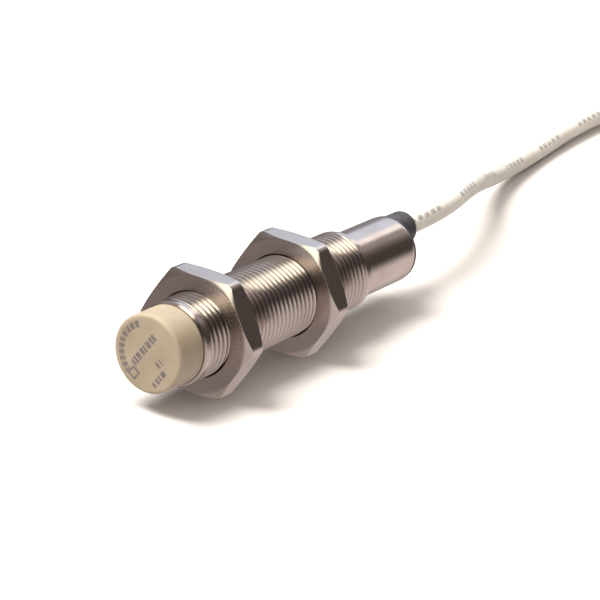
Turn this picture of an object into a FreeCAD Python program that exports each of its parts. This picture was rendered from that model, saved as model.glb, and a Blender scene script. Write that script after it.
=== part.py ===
"""An M12 inductive proximity sensor with two hexagon nuts, a moulded cable boss and 2 m of cable.

Millimetres. The sensor's axis runs along X, from the sensing face at -X to the cable at +X, and +Z is up.
The origin lies under the middle of the sensor, on the surface that the nuts' flats rest on.
Places along the axis are counted from the sensing face. The inner parts and the cable boss are laid out on a
frame rolled about the axis, whose own Z points from the axis to the boss.
"""
import FreeCAD, Part
import math
import os
import Sketcher

SIZES = {
    # sensing cap
    "cap_length": 5.2,  # what shows in front of the barrel
    "cap_step": 0.4,  # radial, from the thread's crests down to the cap
    "cap_face": 0.6,  # wall in front of the core
    "cap_edge": 0.35,  # rounding of the front edge
    "skirt_length": 3.6,  # what sits inside the barrel
    "skirt_wall": 0.45,
    # barrel
    "thread_radius": 6.0,
    "thread_pitch": 1.0,
    "thread_depth": 0.6,
    "thread_length": 41.6,
    "thread_collar": 0.9,  # plain ring at each end of the thread
    "collar_chamfer": 0.3,
    "barrel_wall": 1.25,  # from the bore to the thread's crests
    "tail_wall": 0.41,  # smooth rear barrel
    "tail_length": 13.3,
    "tail_edge": 0.12,
    # nuts
    "across_flats": 17.0,
    "nut_thickness": 3.6,
    "nut_clearance": 0.05,  # radial, over the thread's crests
    "nut_mouth": 0.2,  # countersink at both ends of the bore
    "nut_chamfer": 30.0,  # degrees, of the corners
    "front_nut_place": 10.4,
    "rear_nut_place": 31.7,
    # end plug, cable boss and light guide
    "plug_depth": 5.0,
    "plug_flange": 0.5,
    "flange_step": 0.08,  # radial, from the smooth barrel down to the flange
    "boss_wall": 1.03,
    "boss_length": 6.4,
    "boss_edge": 0.9,
    "boss_inset": 0.37,  # from the flange's edge to the boss
    "boss_angle": 53.4,  # degrees, from +Y towards +Z
    "guide_radius": 0.9,
    "guide_wall": 0.75,  # of the plug, outside the guide's hole
    "guide_gap": 1.0,  # behind the board
    "guide_edge": 0.2,
    # coil set
    "core_gap": 0.05,  # radial, core in cap
    "core_length": 3.2,
    "core_post": 1.5,
    "core_rim": 0.75,
    "core_groove": 2.3,
    "bobbin_wall": 0.25,
    "bobbin_gap": 0.05,
    # circuit board and its parts
    "board_gap": 1.0,  # behind the core
    "board_side_gap": 0.85,  # radial, from the board's edges to the bore
    "wiring_room": 14.3,  # from the board to the plug
    "board_thickness": 0.8,
    "board_corner": 0.6,
    "first_part": 3.0,
    "last_part": 4.4,
    "pad_length": 1.6,
    "coil_lead_radius": 0.15,
    "solder_film": 0.06,  # under each wire
    "solder_inset": 0.2,  # from the board's edge
    "solder_reach": 0.3,  # past each wire's end
    "lead_solder_width": 0.9,
    "core_solder_width": 1.6,
    # cable
    "cable_radius": 1.6,
    "clamp_wall": 0.35,
    "clamp_length": 2.4,
    "clamp_gap": 0.3,
    "held_length": 3.0,  # jacket in front of the plug
    "wire_radius": 0.5,
    "pad_spacing": 2.1,
    "core_straight": 3.0,  # out of the jacket
    "core_landing": 2.0,  # level, behind the board
    "wire_spread": 0.8,  # from the cable's axis to each core
    # hank of stored cable
    "hank_straight": 48.0,
    "fold_radius": 9.6,  # innermost ring's centre line
    "hank_rings": 3,
    "hank_layers": 4,
    "tie_thickness": 0.6,
    "tie_width": 5.0,
    "jacket_end": 12.0,  # last of the jacket, on top of the hank
    "lead_length": 23.0,
    "lead_fan": 1.5,
    "lead_straight": 4.0,  # out of the jacket
    "lead_slope": 5.0,  # from there down to the hank
    "tinned_length": 6.0,
    "tinned_radius": 0.38,
}
# Length, width and height of each kind of part on the board.
BOARD_PARTS = {
    "oscillator": (4.9, 3.9, 1.5),
    "transistor": (3.0, 1.7, 1.1),
    "diode": (3.6, 1.6, 1.0),
    "resistor": (1.0, 0.5, 0.35),
    "capacitor": (1.6, 0.8, 0.8),
    "trimmer": (3.2, 1.6, 0.5),
    "regulator": (3.0, 1.6, 1.2),
    "indicator": (1.6, 0.9, 0.7),
}
for part, measures in BOARD_PARTS.items():
    for side, measure in zip(("length", "width", "height"), measures):
        SIZES[f"{part}_{side}"] = measure

doc = FreeCAD.newDocument("ProximitySensor")
sheet = doc.addObject("Spreadsheet::Sheet", "Sizes")
for row, (alias, number) in enumerate(SIZES.items(), 1):
    sheet.set(f"A{row}", alias)
    sheet.set(f"B{row}", str(number))
    sheet.setAlias(f"B{row}", alias)
doc.recompute()


class Size:
    """A length or angle as a number, with the sheet expression that gives it."""

    def __init__(self, number, text):
        self.number = number
        self.text = text

    def __add__(self, other):
        other = as_size(other)
        return Size(self.number + other.number, f"({self.text} + {other.text})")

    def __sub__(self, other):
        other = as_size(other)
        return Size(self.number - other.number, f"({self.text} - {other.text})")

    def __mul__(self, other):
        other = as_size(other)
        return Size(self.number * other.number, f"{self.text} * {other.text}")

    def __truediv__(self, other):
        other = as_size(other)
        return Size(self.number / other.number, f"{self.text} / {other.text}")

    def __neg__(self):
        return as_size(0) - self


def as_size(value):
    return value if isinstance(value, Size) else Size(value, str(value))


def size(alias):
    return Size(float(getattr(sheet, alias)), f"Sizes.{alias}")


def tangent(angle):
    return Size(math.tan(math.radians(angle.number)), f"tan({angle.text} * 1 deg)")


# Radii about the axis, and the boss's and the light guide's places on the rolled frame.
bore = size("thread_radius") - size("barrel_wall")
tail = bore + size("tail_wall")
flange = tail - size("flange_step")
cap_inside = bore - size("skirt_wall")
core_radius = cap_inside - size("core_gap")
coil_lead_across = (core_radius - size("core_rim") + size("core_post")) / 2
boss = size("cable_radius") + size("boss_wall")
boss_up = flange - size("boss_inset") - boss
guide_down = bore - size("guide_wall") - size("guide_radius")
roll = size("boss_angle") - 90

# Stations along the axis, counted from the sensing face.
cap_back = size("cap_length")
thread_end = cap_back + size("thread_length")
tail_end = thread_end + size("tail_length")
plug_front = tail_end - size("plug_depth")
flange_end = tail_end + size("plug_flange")
boss_end = flange_end + size("boss_length")
core_back = size("cap_face") + size("core_length")
board_front = core_back + size("board_gap")
board_back = plug_front - size("wiring_room")
front_end = -(boss_end / 2)
axis_height = size("across_flats") / 2
board_top = size("board_thickness") / 2
OVERRUN = 0.1  # how far a cutting shape passes the face that it starts from


def bind(thing, **values):
    """Sets each property of a document object from the sheet."""
    for name, value in values.items():
        thing.setExpression(name, as_size(value).text)


def seat(piece, station, angle, across=0, up=0):
    """Binds a piece's origin to a station on the axis, or to a place beside it on a frame at an angle."""
    across, up, height = as_size(across).text, as_size(up).text, axis_height.text
    sine, cosine = f"sin({angle.text} * 1 deg)", f"cos({angle.text} * 1 deg)"
    piece.setExpression("Placement.Base.x", (front_end + station).text)
    piece.setExpression("Placement.Base.y", f"{across} * {cosine} - {up} * {sine}")
    piece.setExpression("Placement.Base.z", f"{height} + {across} * {sine} + {up} * {cosine}")
    return piece


def place(piece, station, rolled=False, across=0, up=0):
    """Seats a piece and, on the rolled frame, turns it to that frame."""
    if not rolled:
        return seat(piece, station, as_size(0), across, up)
    turn = FreeCAD.Rotation(FreeCAD.Vector(1, 0, 0), roll.number)
    piece.Placement = FreeCAD.Placement(FreeCAD.Vector(), turn)
    piece.setExpression("Placement.Rotation.Angle", roll.text)
    return seat(piece, station, roll, across, up)


def new_body(label):
    body = doc.addObject("PartDesign::Body", label)
    body.Label = label
    return body


def origin_plane(body, role):
    return next(plane for plane in body.Origin.OriginFeatures if plane.Role == role)


def outline(body, name, corners, role="XZ_Plane", offset=None):
    """A closed sketch of straight lines, each corner's two coordinates bound to the sheet."""
    sketch = body.newObject("Sketcher::SketchObject", name)
    sketch.AttachmentSupport = (origin_plane(body, role), [""])
    sketch.MapMode = "FlatFace"
    corners = [(as_size(across), as_size(up)) for across, up in corners]
    ends = [FreeCAD.Vector(across.number, up.number, 0) for across, up in corners]
    last = len(ends) - 1
    for number, start in enumerate(ends):
        sketch.addGeometry(Part.LineSegment(start, ends[(number + 1) % len(ends)]))
    for number in range(len(ends)):
        following = 0 if number == last else number + 1
        sketch.addConstraint(Sketcher.Constraint("Coincident", number, 2, following, 1))
    for number, corner in enumerate(corners):
        for kind, value in zip(("DistanceX", "DistanceY"), corner):
            index = sketch.addConstraint(Sketcher.Constraint(kind, number, 1, value.number))
            sketch.setExpression(f"Constraints[{index}]", value.text)
    if offset is not None:
        sketch.setExpression("AttachmentOffset.Base.z", as_size(offset).text)
    return sketch


def circle(body, name, radius, across=0, up=0, role="YZ_Plane", offset=None):
    """A circle sketch with its radius and centre bound to the sheet."""
    sketch = body.newObject("Sketcher::SketchObject", name)
    sketch.AttachmentSupport = (origin_plane(body, role), [""])
    sketch.MapMode = "FlatFace"
    radius, across, up = as_size(radius), as_size(across), as_size(up)
    centre = FreeCAD.Vector(across.number, up.number, 0)
    sketch.addGeometry(Part.Circle(centre, FreeCAD.Vector(0, 0, 1), radius.number))
    for kind, position, value in (("Radius", None, radius), ("DistanceX", 3, across), ("DistanceY", 3, up)):
        if position is None:
            constraint = Sketcher.Constraint(kind, 0, value.number)
        else:
            constraint = Sketcher.Constraint(kind, 0, position, value.number)
        index = sketch.addConstraint(constraint)
        sketch.setExpression(f"Constraints[{index}]", value.text)
    if offset is not None:
        sketch.setExpression("AttachmentOffset.Base.z", as_size(offset).text)
    return sketch


def revolve(body, name, corners, kind="PartDesign::Revolution"):
    """Turns an outline in the XZ plane about the body's own X axis."""
    sketch = outline(body, f"{name}_outline", corners)
    turned = body.newObject(kind, name)
    turned.Profile = sketch
    turned.ReferenceAxis = (sketch, ["H_Axis"])
    turned.Angle = 360
    return turned


def extrude(body, name, sketch, length, kind="PartDesign::Pad"):
    pad = body.newObject(kind, name)
    pad.Profile = sketch
    bind(pad, Length=length)
    return pad


def rod(name, station, radius, length, across=0, up=0):
    """A round bar along X, on the rolled frame."""
    thing = doc.addObject("Part::Cylinder", name)
    bind(thing, Radius=radius, Height=length)
    thing.Placement = FreeCAD.Placement(FreeCAD.Vector(), FreeCAD.Rotation(FreeCAD.Vector(0, 1, 0), 90))
    return seat(thing, station, roll, across, up)


def block(name, station, sides, across=0, up=0):
    """A box centred across the rolled frame, its underside at the height given there."""
    thing = doc.addObject("Part::Box", name)
    length, width, height = sides
    bind(thing, Length=length, Width=width, Height=height)
    return place(thing, station, rolled=True, across=as_size(across) - width / 2, up=up)


def cut(name, base, *removed):
    """The base without the other shapes."""
    result = doc.addObject("Part::Cut", name)
    result.Base = base
    if len(removed) == 1:
        result.Tool = removed[0]
    else:
        result.Tool = doc.addObject("Part::MultiFuse", f"{name}_removed")
        result.Tool.Shapes = list(removed)
    return result


def group(name, pieces):
    """Separate solids kept in one object."""
    result = doc.addObject("Part::Compound", name)
    result.Links = list(pieces)
    return result


def sensing_cap():
    """Moulded cap: a closed front, a wall as wide as the barrel's shoulder and a thinner skirt in the bore."""
    body = new_body("sensing_cap")
    radius, front = size("thread_radius") - size("cap_step"), size("cap_face")
    skirt_end = cap_back + size("skirt_length")
    revolve(body, "cap", [
        (0, 0), (0, radius), (cap_back, radius), (cap_back, bore), (skirt_end, bore), (skirt_end, cap_inside),
        (front, cap_inside), (front, 0),
    ])
    doc.recompute()
    solid = body.Tip
    face_rim = next(
        number for number, rim in enumerate(solid.Shape.Edges, 1)
        if abs(rim.BoundBox.XMax) < 1e-6 and rim.Length > 6 * radius.number
    )
    rounded = body.newObject("PartDesign::Fillet", "rounded_edge")
    rounded.Base = (solid, [f"Edge{face_rim}"])
    bind(rounded, Radius=size("cap_edge"))
    return place(body, 0)


FLANK_ANGLE = 30.0  # degrees, of each side of the thread's groove
ROOT_FLAT = 0.125  # of the pitch, as on any metric thread
GROOVE_OVERRUN = 0.02  # small, so that neighbouring turns of the cutting shape stay apart


def barrel():
    """Plated brass tube: a fine thread over the front, a smooth tail and one bore from end to end."""
    body = new_body("barrel")
    length, chamfer = size("thread_length"), size("collar_chamfer")
    crest, edge = size("thread_radius"), size("tail_edge")
    end = length + size("tail_length")
    revolve(body, "tube", [
        (0, bore), (0, crest - chamfer), (chamfer, crest), (length - chamfer, crest),
        (length, crest - chamfer), (length, tail), (end - edge, tail), (end, tail - edge), (end, bore),
    ])
    # 60 degree groove with a flat root, run out past the crest and stopped a collar short of each end
    depth, pitch = size("thread_depth"), size("thread_pitch")
    root_half = pitch * ROOT_FLAT / 2
    slope = tangent(as_size(FLANK_ANGLE))
    mouth_half = root_half + slope * (depth + GROOVE_OVERRUN)
    first = size("thread_collar") + root_half + slope * depth
    groove = outline(body, "groove_outline", [
        (first - root_half, crest - depth), (first - mouth_half, crest + GROOVE_OVERRUN),
        (first + mouth_half, crest + GROOVE_OVERRUN), (first + root_half, crest - depth),
    ])
    doc.recompute()
    thread = body.newObject("PartDesign::SubtractiveHelix", "thread")
    thread.Profile = groove
    thread.ReferenceAxis = (groove, ["H_Axis"])
    thread.Mode = 0
    bind(thread, Pitch=pitch, Height=length - first * 2)
    return place(body, cap_back)


def nut(name, station):
    """Hexagon nut, both faces chamfered at the corners, with a bore that clears the thread's crests."""
    body = new_body(name)
    flat, length = size("across_flats") / 2, size("nut_thickness")
    half_side = flat * math.tan(math.radians(30))
    corner = half_side * 2
    sketch = outline(body, "hexagon", [
        (half_side, flat), (-half_side, flat), (-corner, 0),
        (-half_side, -flat), (half_side, -flat), (corner, 0),
    ], role="YZ_Plane")
    extrude(body, "blank", sketch, length)
    doc.recompute()
    slope = tangent(size("nut_chamfer"))
    depth = (corner - flat) * slope
    beyond = OVERRUN * slope.number
    for end, inward in ((as_size(0), 1), (length, -1)):
        revolve(body, "front_chamfer" if inward == 1 else "back_chamfer", [
            (end, flat), (end + depth * inward, corner),
            (end + (depth + beyond) * inward, corner + OVERRUN), (end - OVERRUN * inward, corner + OVERRUN),
            (end - OVERRUN * inward, flat),
        ], kind="PartDesign::Groove")
        doc.recompute()
    hole, mouth = size("thread_radius") + size("nut_clearance"), size("nut_mouth")
    revolve(body, "threaded_hole", [
        (-mouth, 0), (-mouth, hole + mouth * 2), (mouth, hole), (length - mouth, hole),
        (length + mouth, hole + mouth * 2), (length + mouth, 0),
    ], kind="PartDesign::Groove")
    return place(body, station)


def end_plug():
    """Moulded rear plug with its rim, the cable boss off the axis, and holes for the cable and light guide."""
    body = new_body("end_plug")
    depth = size("plug_depth")
    standing = boss_end - plug_front - depth
    extrude(body, "shank", circle(body, "shank_circle", bore), depth)
    extrude(body, "rim", circle(body, "rim_circle", flange, offset=depth), size("plug_flange"))
    extrude(body, "boss", circle(body, "boss_circle", boss, up=boss_up, offset=depth), standing)
    doc.recompute()
    solid = body.Tip
    end = (depth + standing).number
    tip = next(
        number for number, rim in enumerate(solid.Shape.Edges, 1) if abs(rim.BoundBox.XMin - end) < 1e-6
    )
    rounded = body.newObject("PartDesign::Fillet", "rounded_tip")
    rounded.Base = (solid, [f"Edge{tip}"])
    bind(rounded, Radius=size("boss_edge"))
    for name, radius, up in (("cable_hole", size("cable_radius"), boss_up),
                             ("guide_hole", size("guide_radius"), -guide_down)):
        hole = body.newObject("PartDesign::Pocket", name)
        hole.Profile = circle(body, f"{name}_circle", radius, up=up)
        hole.Type = 1
        hole.Reversed = True
        doc.recompute()
    return place(body, plug_front, rolled=True)


def light_guide():
    """Clear rod from the indicator to the rear face, its end chamfered where it shows."""
    start = board_back + size("guide_gap")
    body = new_body("light_guide")
    length, radius, edge = flange_end - start, size("guide_radius"), size("guide_edge")
    revolve(body, "guide", [
        (0, 0), (0, radius), (length, radius), (length + edge, radius - edge), (length + edge, 0),
    ])
    return place(body, start, rolled=True, up=-guide_down)


def coil_set():
    """Ferrite pot core open to the front, the spool and winding in its groove, and the two coil leads."""
    back, groove, post = size("core_length"), size("core_groove"), size("core_post")
    rim, gap, wall = core_radius - size("core_rim"), size("bobbin_gap"), size("bobbin_wall")
    front = size("cap_face")
    pot = new_body("pot_core")
    revolve(pot, "pot", [
        (0, 0), (0, post), (groove, post), (groove, rim), (0, rim), (0, core_radius), (back, core_radius),
        (back, 0),
    ])
    place(pot, front, rolled=True)
    spool = new_body("coil_bobbin")
    hub, cheek = post + gap, rim - gap
    depth = groove - gap
    revolve(spool, "spool", [
        (0, hub), (0, cheek), (wall, cheek), (wall, hub + wall), (depth - wall, hub + wall),
        (depth - wall, cheek), (depth, cheek), (depth, hub),
    ])
    place(spool, front)
    winding = new_body("coil_winding")
    revolve(winding, "turns", [
        (0, hub + wall), (0, cheek - gap), (depth - wall * 2, cheek - gap), (depth - wall * 2, hub + wall),
    ])
    place(winding, front + wall)
    lead_radius = size("coil_lead_radius")
    height = board_top + size("solder_film") + lead_radius
    start = front + depth
    length = board_front + size("pad_length") - start
    slots, leads = [], []
    for side, way in (("left", 1), ("right", -1)):
        slots.append(rod(f"lead_slot_{side}", start, lead_radius + gap, back, coil_lead_across * way, height))
        leads.append(rod(f"lead_{side}", start, lead_radius, length, coil_lead_across * way, height))
    core = cut("ferrite_core", pot, *slots)
    return [core, spool, winding, group("coil_leads", leads)]


PART_COLUMNS = 11  # places along the board that its parts are set out on; across, half its width is 1


def sides_of(part):
    return [size(f"{part}_{side}") for side in ("length", "width", "height")]


def circuit_board():
    """The board and what is soldered to it: chips, transistor, diode, resistors, capacitors and indicator."""
    board = new_body("circuit_board")
    half = bore - size("board_side_gap")
    corner, length = size("board_corner"), board_back - board_front
    extrude(board, "laminate", outline(board, "board_outline", [
        (0, -half), (0, half), (length - corner, half), (length, half - corner),
        (length, -(half - corner)), (length - corner, -half),
    ], role="XY_Plane", offset=-board_top), size("board_thickness"))
    place(board, board_front, rolled=True)
    first = board_front + size("first_part")
    column = (board_back - size("last_part") - first) / PART_COLUMNS

    def chip(name, kind, columns, across=0.0, under=False):
        sides = sides_of(kind)
        up = -(board_top + sides[2]) if under else board_top
        return block(name, first + column * columns, sides, half * across, up)

    def chips(name, kind, columns, across, under=False):
        spots = [(along, share) for along in columns for share in across]
        return group(name, [
            chip(f"{name}_{number}", kind, along, share, under)
            for number, (along, share) in enumerate(spots, 1)
        ])

    indicator = sides_of("indicator")
    return [
        board,
        chip("oscillator_chip", "oscillator", 0),
        chip("output_transistor", "transistor", 7.2),
        chip("protection_diode", "diode", 9.2),
        chips("resistors", "resistor", (2.8, 3.8, 4.8, 5.8), (-0.6, -0.2, 0.2, 0.6)),
        chips("ceramic_capacitors", "capacitor", (1.0, 2.4, 3.8), (-0.4, 0.4), under=True),
        chip("trimming_resistor", "trimmer", 5.6, under=True),
        chip("voltage_regulator", "regulator", 8.2, under=True),
        block("indicator_led", board_back - indicator[0], indicator, 0, -(board_top + indicator[2])),
    ]


RUN_SHARE = 0.45  # of the shorter run beside a corner, how far back from it the arc starts


def rounded_path(corners):
    """Straight runs joined by tangent arcs, as large as the runs allow. Returns the wire and the radii."""
    points = [FreeCAD.Vector(*corner) for corner in corners]
    edges, used = [], []
    start = points[0]
    for before, corner, after in zip(points, points[1:], points[2:]):
        into, out = (before - corner), (after - corner)
        turn = math.pi - into.getAngle(out)
        reach = RUN_SHARE * min(into.Length, out.Length)
        used.append(reach / math.tan(turn / 2))
        into.normalize()
        out.normalize()
        first, last = corner + into * reach, corner + out * reach
        bisector = (into + out).normalize()
        to_centre = used[-1] / math.cos(turn / 2)
        middle = corner + bisector * (to_centre - used[-1])
        edges.append(Part.LineSegment(start, first).toShape())
        edges.append(Part.Arc(first, middle, last).toShape())
        start = last
    edges.append(Part.LineSegment(start, points[-1]).toShape())
    return Part.Wire(edges), used


def tube(name, corners, radius):
    """A round tube along a rounded path, checked against its section times its length."""
    path, radii = rounded_path(corners)
    direction = FreeCAD.Vector(*corners[1]) - FreeCAD.Vector(*corners[0])
    ring = Part.Wire([Part.Circle(FreeCAD.Vector(*corners[0]), direction, radius).toShape()])
    solid = path.makePipeShell([ring], True, False)
    wanted = math.pi * radius ** 2 * path.Length
    if abs(solid.Volume - wanted) > 0.01 * wanted:
        raise ValueError(f"{name}: volume {solid.Volume:.2f}, section times length {wanted:.2f}")
    piece = doc.addObject("Part::Feature", name)
    piece.Shape = solid
    print(f"{name}: length {path.Length:.1f}, radii", ", ".join(f"{radius:.1f}" for radius in radii))
    return piece


def rolled_point(station, across, up):
    """A point given on the rolled frame, as coordinates of the part."""
    angle = math.radians(roll.number)
    across, up = as_size(across).number, as_size(up).number
    return (
        (front_end + station).number,
        across * math.cos(angle) - up * math.sin(angle),
        axis_height.number + across * math.sin(angle) + up * math.cos(angle),
    )


def spread_places(spread):
    """Where the cable's three cores lie round its axis, as offsets across and up."""
    angles = [math.radians(angle) for angle in (210, 90, 330)]
    return [(spread.number * math.cos(angle), spread.number * math.sin(angle)) for angle in angles]


CORE_COLOURS = ("brown", "black", "blue")


def cable_inside():
    """The cable's held end in the plug, its crimped clamp, and the three cores soldered to the board."""
    radius, wire = size("cable_radius"), size("wire_radius")
    start = plug_front - size("held_length")
    jacket = rod("cable_entry", start, radius, boss_end - start, up=boss_up)
    clamp_start = plug_front - size("clamp_length") - size("clamp_gap")
    band = rod("clamp_band", clamp_start, radius + size("clamp_wall"), size("clamp_length"), up=boss_up)
    clamp = cut("cable_clamp", band, rod("clamp_bore", clamp_start, radius, size("clamp_length"), up=boss_up))
    height = board_top + size("solder_film") + wire
    cores = []
    for (across, up), colour, way in zip(spread_places(size("wire_spread")), CORE_COLOURS, (-1, 0, 1)):
        pad_across = size("pad_spacing") * way
        cores.append(tube(f"{colour}_core", [
            rolled_point(start, across, boss_up + up),
            rolled_point(start - size("core_straight"), across, boss_up + up),
            rolled_point(board_back + size("core_landing"), pad_across, height),
            rolled_point(board_back - size("pad_length"), pad_across, height),
        ], wire.number))
    return [jacket, clamp, *cores]


SOLDER_RISE = 1.4  # how high the solder stands round a wire, in the wire's radii


def solder_joints(leads, cores):
    """Solder round each coil lead at the board's front and each core at its back."""
    pad, film = size("pad_length"), size("solder_film")
    length = pad + size("solder_reach") - size("solder_inset")

    def joint(name, station, wire_radius, width, across, wire):
        sides = (length, size(width), film + size(wire_radius) * SOLDER_RISE)
        return cut(f"{name}_joint", block(f"{name}_solder", station, sides, across, board_top), wire)

    front, back = board_front + size("solder_inset"), board_back - pad - size("solder_reach")
    joints = [
        joint(f"{side}_lead", front, "coil_lead_radius", "lead_solder_width", coil_lead_across * way, leads)
        for side, way in (("left", 1), ("right", -1))
    ]
    joints += [
        joint(f"{colour}_core", back, "wire_radius", "core_solder_width", size("pad_spacing") * way, core)
        for colour, way, core in zip(CORE_COLOURS, (-1, 0, 1), cores)
    ]
    return group("solder_joints", joints)


def potting_resin(inner):
    """The resin that fills the housing round everything on the board, from the core to the end plug."""
    body = new_body("resin_fill")
    skirt = cap_back + size("skirt_length") - core_back
    length = plug_front - core_back
    revolve(body, "fill", [
        (0, 0), (0, cap_inside), (skirt, cap_inside), (skirt, bore), (length, bore), (length, 0),
    ])
    resin = place(body, core_back)
    for piece in inner[:-1]:
        resin = cut(f"resin_without_{piece.Label}", resin, piece)
    return cut("potting_resin", resin, inner[-1])


# The cable's way from the boss: level out of it, down to the surface and along it to the stored hank.
STRAIGHT_OUT = 11.5
ROUTE_DOWN = [(64.0, 6.9, 8.6), (85.0, 14.1, 3.2), (106.0, 17.9, 1.6)]
HANK_SIDE = 20.4  # across, the line that the cable joins the hank on
HANK_NEAR = 127.0  # where the cable comes onto that line
HANK_START = 145.0
HANK_LEFT = 160.0  # where the hank's straight runs begin


def plain_box(low, high):
    corner, far = FreeCAD.Vector(*low), FreeCAD.Vector(*high)
    step = far - corner
    return Part.makeBox(step.x, step.y, step.z, corner)


def stadium(left, right, centre, radius, low, height):
    """A round-ended slab along X."""
    slab = plain_box((left, centre - radius, low), (right, centre + radius, low + height))
    for end in (left, right):
        slab = slab.fuse(Part.makeCylinder(radius, height, FreeCAD.Vector(end, centre, low)))
    return slab.removeSplitter()


def stored_cable():
    """The cable outside the boss: free stretch, hank, the cut end on top of it, ties and bare leads."""
    exit_point = rolled_point(boss_end, 0, boss_up)
    radius = size("cable_radius").number
    thickness, tie_width = size("tie_thickness").number, size("tie_width").number
    entry_height = thickness + radius
    level = (exit_point[0] + STRAIGHT_OUT, exit_point[1], exit_point[2])
    joining = [(along, HANK_SIDE, entry_height) for along in (HANK_NEAR, HANK_START)]
    free = tube("cable", [exit_point, level, *ROUTE_DOWN, *joining], radius)
    fold, rings = size("fold_radius").number, int(size("hank_rings").number)
    outer = fold + (2 * rings - 1) * radius
    inner = fold - radius
    centre = HANK_SIDE - outer + radius
    right = HANK_LEFT + size("hank_straight").number
    height = 2 * radius * size("hank_layers").number
    hank = stadium(HANK_LEFT, right, centre, outer, thickness, height)
    hank = hank.cut(stadium(HANK_LEFT, right, centre, inner, thickness, height))
    entry_start = FreeCAD.Vector(HANK_START, HANK_SIDE, entry_height)
    entry = Part.makeCylinder(radius, HANK_LEFT - HANK_START, entry_start, FreeCAD.Vector(1, 0, 0))
    hank_piece = doc.addObject("Part::Feature", "cable_hank")
    hank_piece.Shape = hank.fuse(entry)

    ties = []
    tie_left = HANK_LEFT + tie_width
    for side in (centre + inner, centre - outer):
        span = outer - inner
        band = plain_box((tie_left, side - thickness, 0),
                         (tie_left + tie_width, side + span + thickness, height + 2 * thickness))
        ties.append(band.cut(plain_box((tie_left, side, thickness),
                                       (tie_left + tie_width, side + span, thickness + height))))
    tie_piece = doc.addObject("Part::Feature", "hank_ties")
    tie_piece.Shape = Part.makeCompound(ties)

    top = thickness + height
    end_side, jacket = centre - fold, size("jacket_end").number
    end_piece = doc.addObject("Part::Feature", "cable_end")
    end_start = FreeCAD.Vector(right - jacket, end_side, top + radius)
    end_piece.Shape = Part.makeCylinder(radius, jacket, end_start, FreeCAD.Vector(1, 0, 0))
    lead_radius, length = size("wire_radius").number, size("lead_length").number
    tinned, bare = size("tinned_length").number, size("tinned_radius").number
    cut_face = right - jacket
    bend = cut_face - size("lead_straight").number
    landing = bend - size("lead_slope").number
    stripped = cut_face - length + tinned
    leads, tips = [], []
    for (across, up), colour, way in zip(spread_places(size("wire_spread")), CORE_COLOURS, (-1, 0, 1)):
        fanned = end_side + way * size("lead_fan").number
        low = top + lead_radius
        leads.append(tube(f"{colour}_lead", [
            (cut_face, end_side + across, top + radius + up),
            (bend, end_side + across, top + radius + up),
            (landing, fanned, low),
            (stripped, fanned, low),
        ], lead_radius))
        tips.append(Part.makeCylinder(bare, tinned, FreeCAD.Vector(stripped, fanned, low),
                                      FreeCAD.Vector(-1, 0, 0)))
    tip_piece = doc.addObject("Part::Feature", "tinned_ends")
    tip_piece.Shape = Part.makeCompound(tips)
    return [free, hank_piece, end_piece, tie_piece, *leads, tip_piece]


def build():
    """Every piece of the sensor, each an object whose label is its node's name."""
    coil = coil_set()
    board = circuit_board()
    inside = cable_inside()
    joints = solder_joints(coil[-1], inside[2:])
    guide = light_guide()
    pieces = [
        sensing_cap(),
        barrel(),
        nut("front_nut", size("front_nut_place")),
        nut("rear_nut", size("rear_nut_place")),
        end_plug(),
        guide,
        *coil,
        *board,
        *inside,
        joints,
        potting_resin([coil[-1], *board, *inside, joints, guide]),
        *stored_cable(),
    ]
    doc.recompute()
    return pieces


def check(pieces):
    """Stops if any object failed to build or any piece has no sound solid."""
    for thing in doc.Objects:
        if "Invalid" in thing.State or "Error" in thing.State:
            raise RuntimeError(f"{thing.Label} failed: {thing.State}")
    for piece in pieces:
        shape = piece.Shape
        if shape.isNull() or not shape.isValid() or not shape.Solids:
            raise RuntimeError(f"{piece.Label} has no valid solid")


sensor = build()
check(sensor)
os.makedirs("parts", exist_ok=True)
for piece in sensor:
    piece.Shape.exportStep(f"parts/{piece.Label}.step")
    print(f"{piece.Label}: {len(piece.Shape.Solids)} solids, {piece.Shape.Volume:.2f} mm3")
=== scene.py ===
"""Looks of an M12 inductive proximity sensor with two nuts and 2 m of cable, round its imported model."""
import math

import bmesh
import bpy
from mathutils import Matrix, Vector


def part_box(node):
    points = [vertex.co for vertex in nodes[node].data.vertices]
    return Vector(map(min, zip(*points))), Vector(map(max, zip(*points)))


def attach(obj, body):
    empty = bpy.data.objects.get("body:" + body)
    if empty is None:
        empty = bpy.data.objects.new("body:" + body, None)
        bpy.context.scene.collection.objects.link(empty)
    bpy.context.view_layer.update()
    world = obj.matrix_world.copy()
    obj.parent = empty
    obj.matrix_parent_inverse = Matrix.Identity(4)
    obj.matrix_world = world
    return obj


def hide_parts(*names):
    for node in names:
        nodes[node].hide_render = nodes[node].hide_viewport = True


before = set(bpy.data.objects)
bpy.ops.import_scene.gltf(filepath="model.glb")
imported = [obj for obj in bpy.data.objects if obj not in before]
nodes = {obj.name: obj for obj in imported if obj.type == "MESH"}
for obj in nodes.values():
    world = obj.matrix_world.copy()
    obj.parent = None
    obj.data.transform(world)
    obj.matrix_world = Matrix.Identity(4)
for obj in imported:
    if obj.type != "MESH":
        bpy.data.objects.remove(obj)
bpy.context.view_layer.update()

MM = 0.001

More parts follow.
